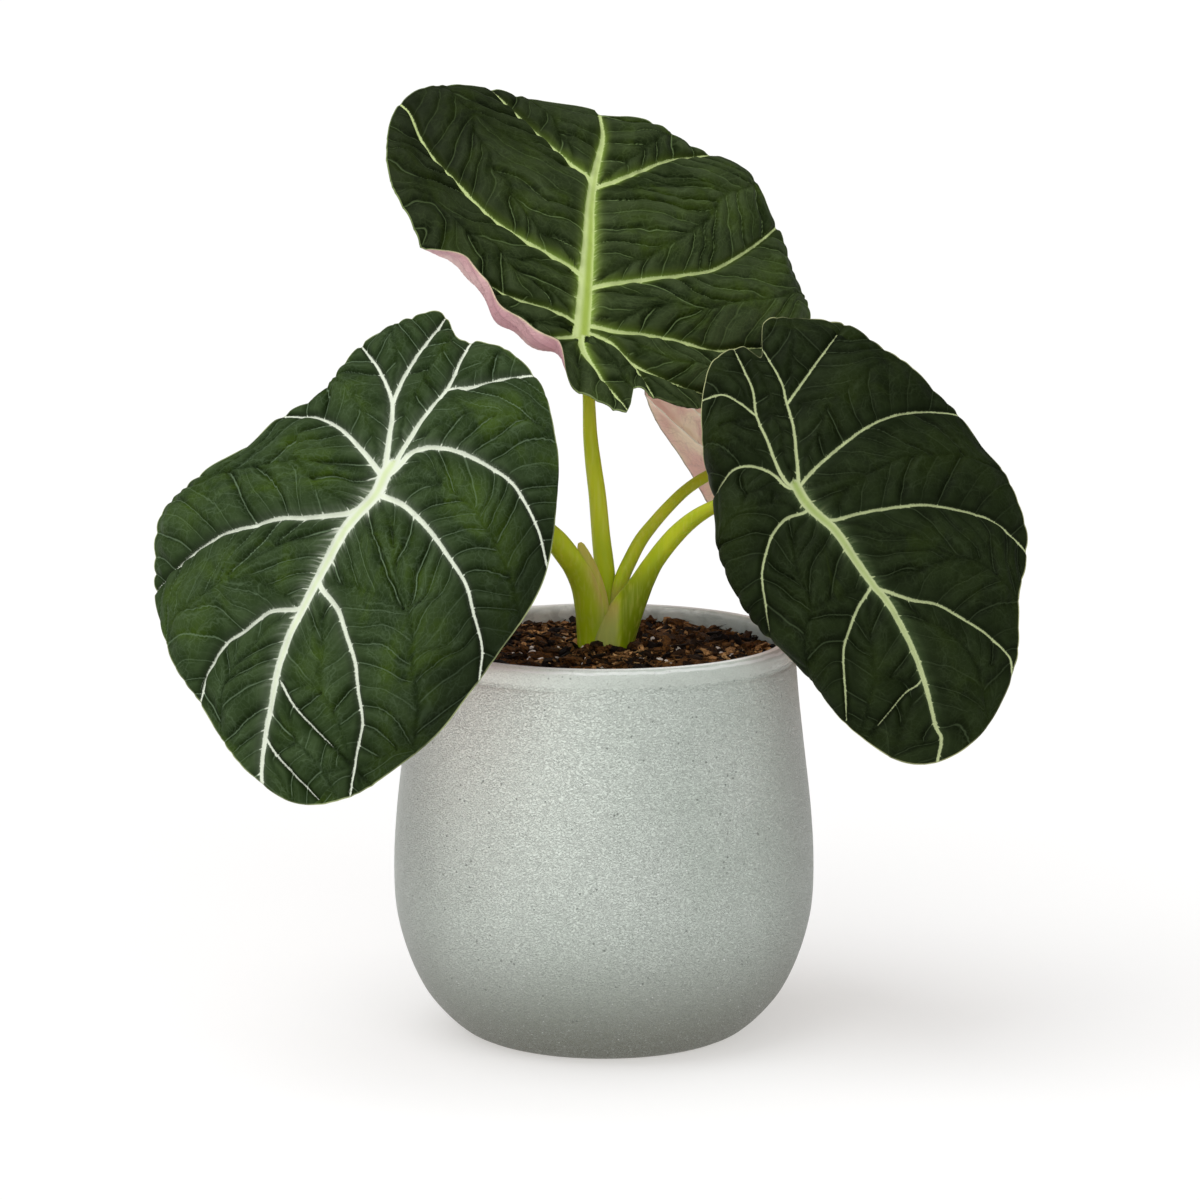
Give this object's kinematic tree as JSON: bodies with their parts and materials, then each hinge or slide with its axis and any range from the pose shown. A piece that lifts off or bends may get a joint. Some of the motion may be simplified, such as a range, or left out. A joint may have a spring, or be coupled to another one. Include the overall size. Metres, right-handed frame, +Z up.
{
  "type": "alocasia black velvet in a pot",
  "caption": "Compact aroid with dark velvety heart-shaped leaves, pale veins and arching stalks, planted in a rounded glazed pot.",
  "frame": {"origin": "centre of the pot's flat foot, on the surface it stands on", "axes": "+Z up along the pot's axis, -Y towards the open side where the two front leaves hang, +X to the right seen from there"},
  "size_m": [0.2835, 0.1813, 0.3103],
  "materials": {
    "pot": "satin, finely speckled grey-green glaze",
    "soil": "loose bark chips, fibre and grit",
    "rhizome": "dull, papery",
    "stalk": "smooth, waxy yellow-green",
    "blade": "velvety dark green with pale veins, pinkish underneath"
  },
  "bodies": {
    "root": {"pot": "pot", "soil": "soil", "rhizome": "rhizome", "stalk_right": "stalk", "stalk_left": "stalk", "stalk_top": "stalk", "stalk_back": "stalk", "blade_left": "blade", "blade_right": "blade", "blade_top": "blade", "blade_back": "blade"}
  },
  "joints": []
}
